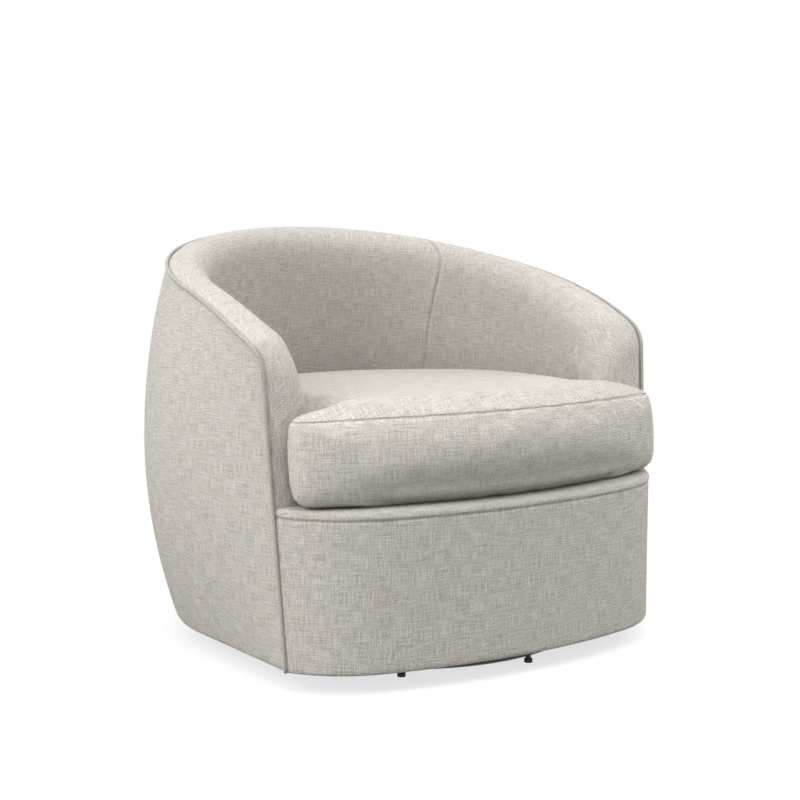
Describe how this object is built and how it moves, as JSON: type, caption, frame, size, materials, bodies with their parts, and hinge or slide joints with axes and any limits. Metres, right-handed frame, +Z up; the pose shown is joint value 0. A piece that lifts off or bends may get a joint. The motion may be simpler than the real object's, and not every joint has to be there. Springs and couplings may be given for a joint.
{
  "type": "swivel barrel chair",
  "caption": "Low upholstered barrel armchair with a curved wrap-around back and arms, piped rim, loose T-shaped seat cushion and a concealed swivel ring base.",
  "frame": {"origin": "on the floor under the centre of the chair's bounding box, which is also the centre of the barrel's round back", "axes": "+Z up, the seat faces -Y, +X to the right of someone who looks at the front"},
  "size_m": [0.8498, 0.8499, 0.7134],
  "materials": {
    "black_steel": "black powder coat, satin",
    "zinc_steel": "zinc plated",
    "spring_steel": "oil tempered wire",
    "ball_steel": "polished",
    "black_nylon": "matt",
    "plywood": "raw birch plywood",
    "hardboard": "raw hardboard",
    "foam": "open-cell polyurethane foam",
    "wadding": "polyester wadding",
    "webbing": "burlap",
    "deck_cloth": "plain lining cloth",
    "dust_cloth": "black cambric",
    "upholstery": "oatmeal slub weave",
    "piping": "self-covered piping cord",
    "zipper_tape": "woven tape with nylon coil"
  },
  "bodies": {
    "base": {"base_ring": "black_steel", "glides": "black_nylon", "glide_screws": "zinc_steel", "base_cross": "black_steel", "lower_swivel_plate": "black_steel", "plate_screws": "zinc_steel", "lower_race": "zinc_steel", "bearing_balls": "ball_steel", "ball_cage": "black_nylon", "centre_pin": "zinc_steel", "pin_washer": "zinc_steel", "pin_nut": "zinc_steel"},
    "seat_shell": {"upper_race": "zinc_steel", "upper_swivel_plate": "black_steel", "mounting_boards": "plywood", "mounting_bolts": "zinc_steel", "t_nuts": "zinc_steel", "bottom_ring": "plywood", "seat_ring": "plywood", "side_ribs": "plywood", "front_ribs": "plywood", "top_rail": "plywood", "back_ribs": "plywood", "left_arm_post": "plywood", "right_arm_post": "plywood", "sinuous_springs": "spring_steel", "spring_clips": "zinc_steel", "tie_wires": "spring_steel", "deck_pad": "foam", "deck_cover": "deck_cloth", "inside_back_foam": "foam", "left_arm_foam": "foam", "right_arm_foam": "foam", "inside_webbing": "webbing", "outside_backing": "hardboard", "outside_wadding": "wadding", "front_panel_backing": "hardboard", "front_panel_wadding": "wadding", "outer_cover": "upholstery", "front_panel_cover": "upholstery", "inside_back_cover": "upholstery", "left_arm_cover": "upholstery", "right_arm_cover": "upholstery", "rim_piping": "piping", "dust_cover": "dust_cloth"},
    "cushion": {"cushion_core": "foam", "cushion_bottom_panel": "upholstery", "cushion_boxing": "upholstery", "cushion_top_panel": "upholstery", "cushion_zipper": "zipper_tape"}
  },
  "joints": [
    {"name": "swivel", "type": "hinge", "parent": "base", "child": "seat_shell", "pos_m": [0, -0.062, 0.03], "axis": [0, 0, 1], "continuous": true},
    {"name": "cushion_lift", "type": "slide", "parent": "seat_shell", "child": "cushion", "axis": [0, 0, 1], "range_m": [0, 0.06]}
  ]
}
